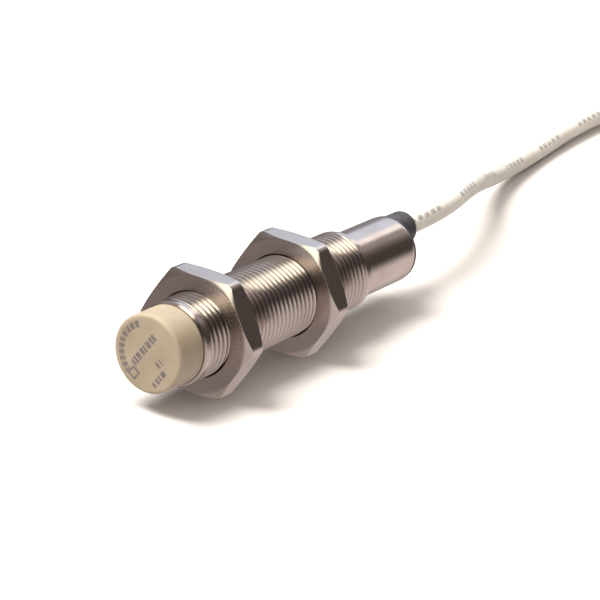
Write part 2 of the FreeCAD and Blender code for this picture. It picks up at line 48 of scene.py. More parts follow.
# --- Camera -----------------------------------------------------------------------------------------
# A long lens looks down the sensor from ahead of its face and a little above, tipped slightly sideways.
AIM = Vector((3.56, 0.0, 6.40)) * MM
CAMERA_AWAY = 378.7 * MM
CAMERA_ANGLE = math.radians(58.3)  # from +Y towards +X, the way that it looks
CAMERA_DIP = math.radians(21.28)
CAMERA_ROLL = math.radians(6.32)
looking = Vector((
    math.cos(CAMERA_DIP) * math.sin(CAMERA_ANGLE),
    math.cos(CAMERA_DIP) * math.cos(CAMERA_ANGLE),
    -math.sin(CAMERA_DIP),
))
level = looking.cross(Vector((0, 0, 1))).normalized()
right = Matrix.Rotation(-CAMERA_ROLL, 3, looking) @ level
camera_data = bpy.data.cameras.new("camera")
camera_data.lens = 156.66
camera_data.sensor_width = 36.0
camera_data.clip_start = 0.01
camera = bpy.data.objects.new("camera", camera_data)
bpy.context.scene.collection.objects.link(camera)
axes = Matrix((right, right.cross(looking), -looking)).transposed()
camera.matrix_world = Matrix.Translation(AIM - looking * CAMERA_AWAY) @ axes.to_4x4()
bpy.context.scene.camera = camera

# --- Cable ------------------------------------------------------------------------------------------
# A three-core cable, 3.2 mm across, in a soft off-white PVC jacket that is extruded over its cores.
# It leaves the moulded boss level, sinks to the surface and ends in a tied hank, wound ring on ring.
CABLE_RADIUS = 1.6 * MM
exit_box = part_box("cable_entry")
boss_side = (exit_box[0][1] + exit_box[1][1]) / 2
boss_height = (exit_box[0][2] + exit_box[1][2]) / 2
cable_exit = (exit_box[1][0], boss_side, boss_height)
route = [Vector(cable_exit), Vector(cable_exit) + Vector((11.5 * MM, 0, 0))]
route += [Vector(point) * MM for point in (
    (64.0, 6.9, 8.6), (85.0, 14.1, 3.2), (106.0, 17.9, 1.6), (127.0, 20.4, 2.2), (145.0, 20.4, 2.2),
)]
hank_low, hank_high = (Vector(corner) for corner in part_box("cable_hank"))
HANK_LEFT = 160.0 * MM
FOLD_RADIUS = 9.6 * MM
FOLD_REACH = 17.6 * MM  # from the centre of a fold to the outside of the hank
hank_right = hank_high.x - FOLD_REACH
straight = hank_right - HANK_LEFT
layer_step = 2 * CABLE_RADIUS
hank_middle = (hank_low.y + hank_high.y) / 2
first_height = hank_low.z + CABLE_RADIUS
WHOLE_TURNS = 10
# Each entry: the turn during which the cable moves on, how far round that turn, then the ring and the
# layer that it moves to. Later moves come earlier round the turn, so no two turns cross in one place.
MOVES = (
    (1, 0.93, 1, 0), (2, 0.93, 0, 0), (3, 0.81, 0, 1), (4, 0.69, 1, 1), (5, 0.69, 2, 1),
    (6, 0.57, 2, 2), (7, 0.45, 1, 2), (8, 0.45, 0, 2), (9, 0.33, 0, 3), (10, 0.21, 1, 3),
    (11, 0.33, 1, 4), (11, 0.43, 0, 4),
)
MOVE_WIDTH = 0.12


def ease(value):
    value = min(max(value, 0.0), 1.0)
    return value * value * (3 - 2 * value)


def hank_point(turns):
    """The cable's place after so many turns: along a straight, round a fold, back and round the other."""
    ring, layer = 2.0, 0.0
    for turn, share, next_ring, next_layer in MOVES:
        moved = ease((turns - (turn - 1 + share)) / MOVE_WIDTH + 0.5)
        ring += (next_ring - ring) * moved
        layer += (next_layer - layer) * moved
    radius = FOLD_RADIUS + ring * layer_step
    height = first_height + layer * layer_step
    middle_fold = math.pi * (FOLD_RADIUS + layer_step)
    half = straight + middle_fold
    along = (turns % 1.0) * 2 * half
    back = along >= half
    along -= half if back else 0
    if along < straight:
        x, y = HANK_LEFT + along, radius
    else:
        angle = math.pi / 2 - (along - straight) / middle_fold * math.pi
        x, y = hank_right + radius * math.cos(angle), radius * math.sin(angle)
    if back:
        x, y = HANK_LEFT + hank_right - x, -y
    return Vector((x, hank_middle + y, height))


end_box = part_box("cable_end")
turn_length = 2 * (straight + math.pi * (FOLD_RADIUS + layer_step))
last_turns = WHOLE_TURNS + 0.5 + (end_box[1][0] - end_box[0][0]) / turn_length
POINTS_A_TURN = 24
count = round(last_turns * POINTS_A_TURN)
route += [hank_point(last_turns * step / count) for step in range(count + 1)]

curve = bpy.data.curves.new("cable_line", "CURVE")
curve.dimensions = "3D"
curve.resolution_u = 8
spline = curve.splines.new("NURBS")
spline.points.add(len(route) - 1)
for point, place in zip(spline.points, route):
    point.co = (*place, 1.0)
spline.order_u = 3
spline.use_endpoint_u = True


def line_of(curve):
    """The points that a smooth curve passes through."""
    holder = bpy.data.objects.new("line", curve)
    flat = bpy.data.meshes.new_from_object(holder)
    points = [vertex.co.copy() for vertex in flat.vertices]
    bpy.data.meshes.remove(flat)
    bpy.data.objects.remove(holder)
    return points


def add_object(name, mesh, body):
    """A finished piece of the scene that moves with one body of the sensor."""
    piece = bpy.data.objects.new(name, mesh)
    bpy.context.scene.collection.objects.link(piece)
    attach(piece, body)
    return piece


def tube_along(name, points, radius, sides):
    """A closed round tube along a line. Its UV map holds the share of the way round and the metres along."""
    mesh = bmesh.new()
    uv = mesh.loops.layers.uv.new("around_and_along")
    heading = (points[1] - points[0]).normalized()
    side = heading.cross(Vector((0, 1, 0))).normalized()
    rings, along = [], [0.0]
    for number, point in enumerate(points):
        before, after = points[max(number - 1, 0)], points[min(number + 1, len(points) - 1)]
        heading = (after - before).normalized()
        side = (side - heading * side.dot(heading)).normalized()
        up = heading.cross(side)
        turns = [2 * math.pi * step / sides for step in range(sides)]
        rings.append([
            mesh.verts.new(point + (side * math.cos(turn) + up * math.sin(turn)) * radius) for turn in turns
        ])
        if number:
            along.append(along[-1] + (point - points[number - 1]).length)
    for number in range(len(rings) - 1):
        for step in range(sides):
            other = (step + 1) % sides
            face = mesh.faces.new((
                rings[number][step], rings[number][other], rings[number + 1][other], rings[number + 1][step],
            ))
            face.smooth = True
            corners = ((step, number), (step + 1, number), (step + 1, number + 1), (step, number + 1))
            for loop, (turn, ring) in zip(face.loops, corners):
                loop[uv].uv = (turn / sides, along[ring])
    mesh.faces.new(list(reversed(rings[0])))
    mesh.faces.new(rings[-1])
    made = bpy.data.meshes.new(name)
    mesh.to_mesh(made)
    mesh.free()
    return made


cable_line = line_of(curve)
CABLE_SIDES = 18
cable = add_object("cable_run", tube_along("cable_run", cable_line, CABLE_RADIUS, CABLE_SIDES), "sensor")
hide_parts("cable", "cable_hank", "cable_end")


class Shader:
    """A material's node tree, with short ways to add the nodes that the finishes here are made of."""

    def __init__(self, name, colour, roughness, metallic=0.0):
        self.material = bpy.data.materials.new(name)
        self.material.use_nodes = True
        self.tree = self.material.node_tree
        self.surface = self.tree.nodes["Principled BSDF"]
        self.surface.inputs["Base Color"].default_value = (*colour, 1)
        self.surface.inputs["Roughness"].default_value = roughness
        self.surface.inputs["Metallic"].default_value = metallic

    def set(self, socket, value):
        if isinstance(value, bpy.types.NodeSocket):
            self.tree.links.new(value, socket)
        else:
            socket.default_value = value

    def node(self, kind, settings=(), **inputs):
        """A node with its settings and inputs. An input that is a socket is linked."""
        made = self.tree.nodes.new(kind)
        for name, value in settings:
            setattr(made, name, value)
        for name, value in inputs.items():
            self.set(made.inputs[name.replace("_", " ")], value)
        return made

    def math(self, operation, first, second=0.0, third=0.0):
        made = self.tree.nodes.new("ShaderNodeMath")
        made.operation = operation
        for socket, value in zip(made.inputs, (first, second, third)):
            self.set(socket, value)
        return made.outputs[0]

    def places(self, centre=(0.0, 0.0, 0.0), turn=(0.0, 0.0, 0.0)):
        """Places on the piece in metres, counted from a centre and turned."""
        spot = self.node("ShaderNodeTexCoord").outputs["Object"]
        moved = self.node("ShaderNodeVectorMath", [("operation", "SUBTRACT")])
        self.set(moved.inputs[0], spot)
        self.set(moved.inputs[1], centre)
        return self.node("ShaderNodeMapping", Vector=moved.outputs[0], Rotation=turn).outputs[0]

    def distance(self, across, up):
        """How far a place lies from a line, from its two distances at right angles to the line."""
        squares = self.math("ADD", self.math("POWER", across, 2.0), self.math("POWER", up, 2.0))
        return self.math("SQRT", squares)

    def split(self, vector):
        return self.node("ShaderNodeSeparateXYZ", Vector=vector).outputs

    def noise(self, vector, scale, detail=3.0, roughness=0.5):
        return self.node(
            "ShaderNodeTexNoise", Vector=vector, Scale=scale, Detail=detail, Roughness=roughness,
        ).outputs["Fac"]

    def span(self, value, low, high, to_low=0.0, to_high=1.0):
        """A value carried from one range to another and kept inside it."""
        return self.node(
            "ShaderNodeMapRange", Value=value, From_Min=low, From_Max=high, To_Min=to_low, To_Max=to_high,
        ).outputs[0]

    def blend(self, share, first, second):
        made = self.node("ShaderNodeMix", [("data_type", "RGBA")])
        self.set(made.inputs["Factor"], share)
        for socket, value in zip((made.inputs[6], made.inputs[7]), (first, second)):
            self.set(socket, value if isinstance(value, bpy.types.NodeSocket) else (*value, 1))
        return made.outputs[2]

    def colour(self, value):
        self.set(self.surface.inputs["Base Color"], value)

    def rough(self, value):
        self.set(self.surface.inputs["Roughness"], value)

    def bump(self, height, distance, strength=1.0):
        made = self.node("ShaderNodeBump", Height=height, Distance=distance, Strength=strength)
        self.set(self.surface.inputs["Normal"], made.outputs[0])
        return made.outputs[0]


def band(shader, value, middle, half):
    """1 within half a width of the middle, 0 outside."""
    return shader.math("COMPARE", value, middle, half)


JACKET_WHITE = (0.6, 0.575, 0.525)
JACKET_SHADE = (0.53, 0.5, 0.445)
PRINT_GREY = (0.15, 0.14, 0.135)
PRINT_PITCH = 2.1 * MM
DASH_SHARE, DASHES_A_GROUP, GROUP_SHARE = 0.62, 9.0, 0.55
PRINT_SIDE, PRINT_HALF_WIDTH = 0.12, 0.045  # as shares of the way round
jacket = Shader("cable_jacket", JACKET_WHITE, 0.42)
fine = jacket.noise(jacket.places(), 1800.0, 4.0)
patches = jacket.noise(jacket.places(), 110.0)
run = jacket.split(jacket.node("ShaderNodeUVMap", [("uv_map", "around_and_along")]).outputs[0])
cell = jacket.math("DIVIDE", run[1], PRINT_PITCH)
mark = jacket.math("LESS_THAN", jacket.math("FRACT", cell), DASH_SHARE)
group = jacket.math("FRACT", jacket.math("DIVIDE", cell, DASHES_A_GROUP))
in_group = jacket.math("LESS_THAN", group, GROUP_SHARE)
on_line = band(jacket, run[0], PRINT_SIDE, PRINT_HALF_WIDTH)
printed = jacket.math("MULTIPLY", jacket.math("MULTIPLY", mark, in_group), on_line)
worn = jacket.math("MULTIPLY", printed, jacket.span(fine, 0.35, 0.6, 0.25, 0.8))
shaded = jacket.blend(jacket.span(patches, 0.35, 0.65), JACKET_WHITE, JACKET_SHADE)
jacket.colour(jacket.blend(worn, shaded, PRINT_GREY))
jacket.rough(jacket.span(patches, 0.3, 0.7, 0.36, 0.5))
jacket.bump(fine, 0.00002, 0.35)
jacket.surface.inputs["Subsurface Weight"].default_value = 0.08
jacket.surface.inputs["Subsurface Radius"].default_value = (0.0012, 0.001, 0.0007)
cable.data.materials.append(jacket.material)

# --- Threaded barrel --------------------------------------------------------------------------------
# A brass tube, turned, threaded M12 x 1 over its front and nickel plated. The groove is rolled in one
# long helix that stops short of both ends. The smooth tail is turned down and its rear edge broken.
AXIS_HEIGHT = (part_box("barrel")[0].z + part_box("barrel")[1].z) / 2
barrel_low, barrel_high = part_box("barrel")
CREST = barrel_high.z - AXIS_HEIGHT
BORE = (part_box("potting_resin")[1].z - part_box("potting_resin")[0].z) / 2
TAIL = BORE + 0.41 * MM
THREAD_LENGTH = 41.6 * MM
PITCH = 1.0 * MM
GROOVE_DEPTH = 0.6 * MM
COLLAR = 0.95 * MM
COLLAR_CHAMFER = 0.3 * MM
RUN_OUT = 0.35 * MM
TAIL_EDGE = 0.14 * MM
ROUND_STEPS = 120


def lathe(name, outline):
    """An outline of (x, radius) points turned round the sensor's axis. Points on the axis are closed."""
    mesh = bmesh.new()
    rings = []
    for x, radius in outline:
        if radius == 0:
            rings.append([mesh.verts.new((x, 0.0, AXIS_HEIGHT))] * ROUND_STEPS)
            continue
        turns = [2 * math.pi * step / ROUND_STEPS for step in range(ROUND_STEPS)]
        rings.append([
            mesh.verts.new((x, radius * math.cos(turn), AXIS_HEIGHT + radius * math.sin(turn)))
            for turn in turns
        ])
    for ring, after in zip(rings, rings[1:]):
        if ring[0] is ring[1] and after[0] is after[1]:
            continue
        for step in range(ROUND_STEPS):
            other = (step + 1) % ROUND_STEPS
            corners = dict.fromkeys((ring[step], ring[other], after[other], after[step]))
            mesh.faces.new(list(corners))
    for face in mesh.faces:
        face.smooth = True
    made = bpy.data.meshes.new(name)
    mesh.to_mesh(made)
    mesh.free()
    return made


def arc(centre, radius, start, end, steps=5):
    """Points of a rounded edge, from one angle to another in degrees, as (x, radius) pairs."""
    angles = [math.radians(start + (end - start) * step / steps) for step in range(steps + 1)]
    return [(centre[0] + radius * math.cos(angle), centre[1] + radius * math.sin(angle)) for angle in angles]


class Tree:
    """A Geometry Nodes tree with named inputs, and short ways to add its nodes."""

    def __init__(self, name, **inputs):
        self.tree = bpy.data.node_groups.new(name, "GeometryNodeTree")
        self.identifiers = {}
        for label, value in inputs.items():
            kind = "NodeSocketInt" if isinstance(value, int) else "NodeSocketFloat"
            socket = self.tree.interface.new_socket(label, in_out="INPUT", socket_type=kind)
            socket.default_value = value
            self.identifiers[label] = socket.identifier
        self.tree.interface.new_socket("Geometry", in_out="OUTPUT", socket_type="NodeSocketGeometry")
        self.inputs = self.tree.nodes.new("NodeGroupInput").outputs
        self.values = inputs

    def node(self, kind, *links, **settings):
        made = self.tree.nodes.new(kind)
        for name, value in settings.items():
            setattr(made, name, value)
        for socket, value in zip(made.inputs, links):
            self.set(socket, value)
        return made

    def set(self, socket, value):
        if isinstance(value, bpy.types.NodeSocket):
            self.tree.links.new(value, socket)
        elif value is not None:
            socket.default_value = value

    def math(self, operation, *values):
        return self.node("ShaderNodeMath", *values, operation=operation).outputs[0]

    def vector(self, x, y, z):
        return self.node("ShaderNodeCombineXYZ", x, y, z).outputs[0]

    def bake(self, name, material, geometry):
        """Ends the tree, runs it on an empty mesh and returns the result as a plain mesh."""
        real = self.node("GeometryNodeRealizeInstances", geometry).outputs[0]
        painted = self.node("GeometryNodeSetMaterial", real)
        painted.inputs["Material"].default_value = material
        self.tree.links.new(painted.outputs[0], self.tree.nodes.new("NodeGroupOutput").inputs[0])
        holder = bpy.data.objects.new(name, bpy.data.meshes.new(name))
        bpy.context.scene.collection.objects.link(holder)
        modifier = holder.modifiers.new(name, "NODES")
        modifier.node_group = self.tree
        for label, identifier in self.identifiers.items():
            modifier[identifier] = self.values[label]
        made = bpy.data.meshes.new_from_object(holder.evaluated_get(bpy.context.evaluated_depsgraph_get()))
        holder.modifiers.remove(modifier)
        bpy.data.objects.remove(holder)
        return made


NICKEL = (0.69, 0.63, 0.6)
NICKEL_WARM = (0.6, 0.53, 0.49)
# near-black for painted shade and oil in the thread's grooves
GROOVE_OIL_AND_SHADE = (0.1, 0.082, 0.072)


def nickel_plate(name, roughness, marks, streaks, grooved_until=None):
    """Nickel plating over turned brass: faint rings left by the tool, a warmer tone where it is handled.
    Up to a place along the axis, what lies below the crests is darkened with painted shade and oil."""
    shader = Shader(name, NICKEL, roughness, metallic=1.0)
    spot = shader.places(centre=(0, 0, AXIS_HEIGHT))
    x, y, z = shader.split(spot)
    clouds = shader.noise(spot, 160.0)
    grain = shader.noise(spot, 2600.0, 2.0)
    tone = shader.blend(shader.span(clouds, 0.35, 0.7), NICKEL, NICKEL_WARM)
    shader.rough(shader.math("ADD", shader.span(clouds, 0.3, 0.7, roughness - 0.03, roughness + 0.05),
                             shader.span(grain, 0.4, 0.8, 0.0, 0.05)))
    away = shader.distance(y, z)
    if grooved_until is not None:
        # painted shade and oil: below the crests, up to the end of the thread, the tone darkens towards
        # near-black
        sunk = shader.span(away, CREST - GROOVE_DEPTH, CREST - 0.12 * MM, 0.85, 0.0)
        oil_and_shade = shader.math("MULTIPLY", sunk, shader.math("LESS_THAN", x, grooved_until))
        tone = shader.blend(oil_and_shade, tone, GROOVE_OIL_AND_SHADE)
    shader.colour(tone)
    rings = shader.node("ShaderNodeCombineXYZ", X=shader.math("MULTIPLY", x, marks), Y=away, Z=0.0)
    turned = shader.noise(rings.outputs[0], 9000.0, 1.0)
    shader.bump(turned, 0.0000012, 0.02)
    shader.surface.inputs["Anisotropic"].default_value = streaks
    shader.surface.inputs["Anisotropic Rotation"].default_value = 0.25
    rings_round = shader.node("ShaderNodeTangent", [("direction_type", "RADIAL"), ("axis", "X")])
    shader.set(shader.surface.inputs["Tangent"], rings_round.outputs[0])
    return shader.material


plated_barrel = nickel_plate("nickel_barrel", 0.13, 1.0, 0.3, barrel_low.x + THREAD_LENGTH - COLLAR)
thread = Tree(
    "rolled_thread", Crest=CREST, Pitch=PITCH, Depth=GROOVE_DEPTH, Collar=COLLAR, Run_Out=RUN_OUT,
    Start=barrel_low.x + COLLAR_CHAMFER, Length=THREAD_LENGTH - 2 * COLLAR_CHAMFER, Axis_Height=AXIS_HEIGHT,
    Turns=math.ceil(THREAD_LENGTH / PITCH) + 1, Steps_A_Turn=10, Steps_Round=ROUND_STEPS,
)
given = thread.inputs
columns = thread.math("ADD", thread.math("MULTIPLY", given["Turns"], given["Steps_A_Turn"]), 1.0)
grid = thread.node("GeometryNodeMeshGrid", 1.0, 1.0, columns, thread.math("ADD", given["Steps_Round"], 1.0))
spot = thread.node("ShaderNodeSeparateXYZ", thread.node("GeometryNodeInputPosition").outputs[0]).outputs
turn = thread.math("MULTIPLY", thread.math("ADD", spot[0], 0.5), given["Turns"])
way_round = thread.math("ADD", spot[1], 0.5)
turns_along = thread.math("SUBTRACT", thread.math("ADD", turn, way_round), 1.0)
along = thread.math("MULTIPLY", turns_along, given["Pitch"])
inside = thread.node("ShaderNodeClamp", along, 0.0, given["Length"]).outputs[0]
# 0 in the middle of a crest, 0.5 in the middle of the groove: a flat crest, a 60 degree flank, a flat root
swing = thread.math("PINGPONG", turn, 0.5)
flank = thread.node("ShaderNodeMapRange", swing, 0.09, 0.44, 0.0, 1.0).outputs[0]
from_start = thread.math("SUBTRACT", along, given["Collar"])
from_end = thread.math("SUBTRACT", thread.math("SUBTRACT", given["Length"], given["Collar"]), along)
nearest = thread.math("MINIMUM", from_start, from_end)
cutting = thread.node("ShaderNodeMapRange", nearest, 0.0, given["Run_Out"], 0.0, 1.0).outputs[0]
sunk = thread.math("MULTIPLY", thread.math("MULTIPLY", flank, cutting), given["Depth"])
radius = thread.math("SUBTRACT", given["Crest"], sunk)
angle = thread.math("MULTIPLY", way_round, 2 * math.pi)
across = thread.math("MULTIPLY", radius, thread.math("COSINE", angle))
up = thread.math("MULTIPLY", radius, thread.math("SINE", angle))
moved = thread.node(
    "GeometryNodeSetPosition", grid.outputs[0], True,
    thread.vector(
        thread.math("ADD", given["Start"], inside), across, thread.math("ADD", given["Axis_Height"], up),
    ),
)
smoothed = thread.node("GeometryNodeSetShadeSmooth", moved.outputs[0], True, True)
welded = thread.node("GeometryNodeMergeByDistance", smoothed.outputs[0], True)
welded.inputs["Distance"].default_value = 0.001 * MM
thread_mesh = thread.bake("rolled_thread", plated_barrel, welded.outputs[0])

thread_end = barrel_low.x + THREAD_LENGTH
rear = barrel_high.x
tube_mesh = lathe("barrel_tube", [
    (barrel_low.x + COLLAR_CHAMFER, CREST), (barrel_low.x, CREST - COLLAR_CHAMFER), (barrel_low.x, BORE),
    (rear, BORE), (rear, TAIL - TAIL_EDGE), (rear - 0.3 * TAIL_EDGE, TAIL - 0.3 * TAIL_EDGE),
    (rear - TAIL_EDGE, TAIL), (rear - 4 * TAIL_EDGE, TAIL), (thread_end + 3 * TAIL_EDGE, TAIL),
    (thread_end, TAIL), (thread_end, CREST - COLLAR_CHAMFER), (thread_end - COLLAR_CHAMFER, CREST),
])


def join(name, *meshes):
    """One mesh out of several, with the points that meet welded and its faces turned outwards."""
    whole = bmesh.new()
    for mesh in meshes:
        whole.from_mesh(mesh)
        bpy.data.meshes.remove(mesh)
    bmesh.ops.remove_doubles(whole, verts=whole.verts, dist=0.002 * MM)
    bmesh.ops.recalc_face_normals(whole, faces=whole.faces)
    made = bpy.data.meshes.new(name)
    whole.to_mesh(made)
    whole.free()
    made.set_sharp_from_angle(angle=math.radians(32))
    return made


barrel = add_object("barrel_shell", join("barrel_shell", thread_mesh, tube_mesh), "sensor")
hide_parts("barrel")
barrel.data.materials.clear()
barrel.data.materials.append(plated_barrel)

# --- Sensing cap ------------------------------------------------------------------------------------
# The coil looks out through this cap, moulded in cream engineering plastic with a softly rounded rim.
# Its face carries plain printed marks in grey ink: a broken arc, three rows of blocks and a square.
cap_low, cap_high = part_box("sensing_cap")
CAP = cap_high.z - AXIS_HEIGHT
CAP_SKIRT = BORE - 0.45 * MM
CAP_FACE = 0.6 * MM
CAP_ROUND = 0.45 * MM
cap_back = barrel_low.x
face_x = cap_low.x
cap_mesh = lathe("cap_moulding", [
    (face_x, 0.0), (face_x, CAP - 3 * CAP_ROUND), (face_x, CAP - 1.5 * CAP_ROUND),
    *arc((face_x + CAP_ROUND, CAP - CAP_ROUND), CAP_ROUND, 180, 90, 6),
    (face_x + 2 * CAP_ROUND, CAP), (cap_back - 0.3 * MM, CAP), (cap_back - 0.1 * MM, CAP),
    (cap_back, CAP - 0.1 * MM), (cap_back, BORE), (cap_high.x, BORE), (cap_high.x, CAP_SKIRT),
    (face_x + CAP_FACE, CAP_SKIRT), (face_x + CAP_FACE, 0.0),
])
cap = add_object("cap_moulding", join("cap_moulding", cap_mesh), "sensor")
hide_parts("sensing_cap")

CREAM = (0.32, 0.265, 0.192)
CREAM_DEEP = (0.28, 0.228, 0.158)
INK = (0.09, 0.075, 0.09)
BLOCK_WAVES = 2900.0  # how fast the length of the blocks varies along a row
plastic = Shader("cream_plastic", CREAM, 0.38)
spot = plastic.places(centre=(face_x, 0, AXIS_HEIGHT))
x, y, z = plastic.split(spot)
on_face = plastic.math("LESS_THAN", x, 0.05 * MM)
away = plastic.distance(y, z)
# seen from in front, +Y is on the left: 0 degrees points left and 90 up
bearing = plastic.math("ARCTAN2", z, y)
grains = plastic.noise(spot, 1500.0, 3.0)


def blocks(along, across, middle_along, middle_across, half_length, half_height, pitch, share):
    """A row of solid printed blocks, uneven in length."""
    place_along = plastic.math("SUBTRACT", along, middle_along)
    within_length = band(plastic, place_along, 0.0, half_length)
    inside_row = plastic.math("MULTIPLY", within_length, band(plastic, across, middle_across, half_height))
    wave = plastic.math("SINE", plastic.math("MULTIPLY", place_along, BLOCK_WAVES))
    wobble = plastic.math("MULTIPLY", wave, 0.16)
    step = plastic.math("FRACT", plastic.math("ADD", plastic.math("DIVIDE", place_along, pitch), wobble))
    return plastic.math("MULTIPLY", inside_row, plastic.math("LESS_THAN", step, share))


slanted = plastic.split(plastic.places(centre=(face_x, 0, AXIS_HEIGHT), turn=(math.radians(-33), 0, 0)))
arc_marks = blocks(bearing, away, 0.15, 4.3 * MM, 1.0, 0.47 * MM, 0.21, 0.72)
long_row = blocks(slanted[2], slanted[1], 0.1 * MM, 0.75 * MM, 2.9 * MM, 0.55 * MM, 0.78 * MM, 0.7)
short_row = blocks(slanted[2], slanted[1], -1.2 * MM, -3.5 * MM, 1.5 * MM, 0.42 * MM, 0.8 * MM, 0.66)
square_y = plastic.math("ABSOLUTE", plastic.math("SUBTRACT", slanted[1], -0.15 * MM))
square_z = plastic.math("ABSOLUTE", plastic.math("SUBTRACT", slanted[2], -3.75 * MM))
square = band(plastic, plastic.math("MAXIMUM", square_y, square_z), 0.6 * MM, 0.14 * MM)
pair = blocks(slanted[2], slanted[1], 0.75 * MM, -2.1 * MM, 0.8 * MM, 0.5 * MM, 0.85 * MM, 0.42)
inked = arc_marks
for marks in (long_row, short_row, square, pair):
    inked = plastic.math("MAXIMUM", inked, marks)
ink_cover = plastic.span(grains, 0.3, 0.55, 0.45, 0.85)
inked = plastic.math("MULTIPLY", plastic.math("MULTIPLY", inked, on_face), ink_cover)
mottled = plastic.blend(plastic.span(plastic.noise(spot, 240.0), 0.35, 0.65), CREAM, CREAM_DEEP)
plastic.colour(plastic.blend(inked, mottled, INK))
plastic.rough(plastic.span(grains, 0.3, 0.7, 0.34, 0.48))
plastic.bump(grains, 0.00001, 0.4)
plastic.surface.inputs["Subsurface Weight"].default_value = 0.12
plastic.surface.inputs["Subsurface Radius"].default_value = (0.0016, 0.0012, 0.0007)
cap.data.materials.append(plastic.material)

# --- Nuts -------------------------------------------------------------------------------------------
# Two hexagon nuts, 17 mm across flats, turned and plated like the barrel. Both faces are chamfered, so
# each flat ends in curved edges, and the turned faces keep fine rings round the bore.
NUT_CHAMFER = math.tan(math.radians(30))
NUT_MOUTH = 0.2 * MM
NUT_EDGE = 0.1 * MM
STEPS_A_FLAT = 26
CORNER_TRIM = 0.22 * MM


def chamfer_at(radius, flat):
    """How far the chamfer has cut into the nut's face at a radius."""
    past = radius - flat
    if past <= -NUT_EDGE:
        return 0.0
    if past < NUT_EDGE:
        return NUT_CHAMFER * (past + NUT_EDGE) ** 2 / (4 * NUT_EDGE)
    return NUT_CHAMFER * past


def nut_mesh(name, node):
    low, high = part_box(node)
    flat, width = (high.z - low.z) / 2, high.x - low.x
    hole = CREST + 0.05 * MM
    corner = flat / math.cos(math.radians(30)) - CORNER_TRIM
    mesh = bmesh.new()
    steps = STEPS_A_FLAT * 6
    sections = []
    for step in range(steps):
        turn = 2 * math.pi * step / steps
        from_middle = (turn + math.radians(30)) % math.radians(60) - math.radians(30)
        outer = min(flat / math.cos(from_middle), corner)
        cut = chamfer_at(outer - NUT_EDGE, flat)
        side = chamfer_at(outer, flat) + NUT_EDGE
        half = [
            (0.35 * width, hole), (NUT_MOUTH + NUT_EDGE, hole), (NUT_MOUTH, hole), (0.0, hole + NUT_MOUTH),
            (0.0, hole + NUT_MOUTH + NUT_EDGE), (0.0, flat - 3 * NUT_EDGE), (0.0, flat - NUT_EDGE),
        ]
        for share in (0.33, 0.66):
            spread = flat - NUT_EDGE + (outer - flat) * share
            half.append((chamfer_at(spread, flat), spread))
        half += [
            (cut, outer - NUT_EDGE), (cut + 0.3 * (side - cut), outer - 0.3 * NUT_EDGE), (side, outer),
            (side + NUT_EDGE, outer), (0.4 * width, outer),
        ]
        section = half + [(width - x, radius) for x, radius in reversed(half)]
        direction = Vector((0, math.cos(turn - math.pi / 2), math.sin(turn - math.pi / 2)))
        sections.append([
            mesh.verts.new(Vector((low.x + x, 0, AXIS_HEIGHT)) + direction * radius) for x, radius in section
        ])
    for section, after in zip(sections, sections[1:] + sections[:1]):
        count = len(section)
        for number in range(count):
            other = (number + 1) % count
            face = mesh.faces.new((section[number], section[other], after[other], after[number]))
            face.smooth = True
    made = bpy.data.meshes.new(name)
    mesh.to_mesh(made)
    mesh.free()
    return join(name, made)


plated_nut = nickel_plate("nickel_nut", 0.24, 0.15, 0.6)
for node in ("front_nut", "rear_nut"):
    nut = add_object(f"{node}_turned", nut_mesh(f"{node}_turned", node), node)
    nut.data.materials.append(plated_nut)
    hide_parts(node)

# --- End plug and light guide -----------------------------------------------------------------------
# A black moulded plug closes the rear. Its boss, off the axis, grips the cable; beside it the clear end
# of the light guide shows the indicator inside.
black = Shader("black_moulding", (0.035, 0.031, 0.034), 0.42)
spot = black.places()
pores = black.noise(spot, 1900.0, 3.0)
worn = black.noise(spot, 190.0)
black.colour(black.blend(black.span(worn, 0.4, 0.7), (0.03, 0.027, 0.03), (0.062, 0.052, 0.058)))
black.rough(black.span(pores, 0.3, 0.7, 0.36, 0.55))
black.bump(pores, 0.000012, 0.5)


def finish(material, *names):
    """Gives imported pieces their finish."""
    for name in names:
        for slot in nodes[name].material_slots:
            slot.material = material


finish(black.material, "end_plug")
clear = Shader("clear_guide", (0.86, 0.8, 0.62), 0.08)
clear.surface.inputs["Transmission Weight"].default_value = 0.85
clear.surface.inputs["IOR"].default_value = 1.49
clear.bump(clear.noise(clear.places(), 900.0), 0.000006, 0.3)
clear.rough(clear.span(clear.noise(clear.places(), 500.0), 0.3, 0.7, 0.05, 0.16))
finish(clear.material, "light_guide")
finish(jacket.material, "cable_entry")

# --- Hank ties --------------------------------------------------------------------------------------
# Two white nylon straps, wound once round the legs of the hank and welded flat, hold the stored cable.
# Each is a ribbon with rounded edges, swept round a rounded box just outside the turns.
STRAP = 0.6 * MM
STRAP_EDGE = 0.22 * MM
BEND_STEPS = 8
ties_low, ties_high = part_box("hank_ties")
RINGS = 3
LEG = RINGS * 2 * CABLE_RADIUS


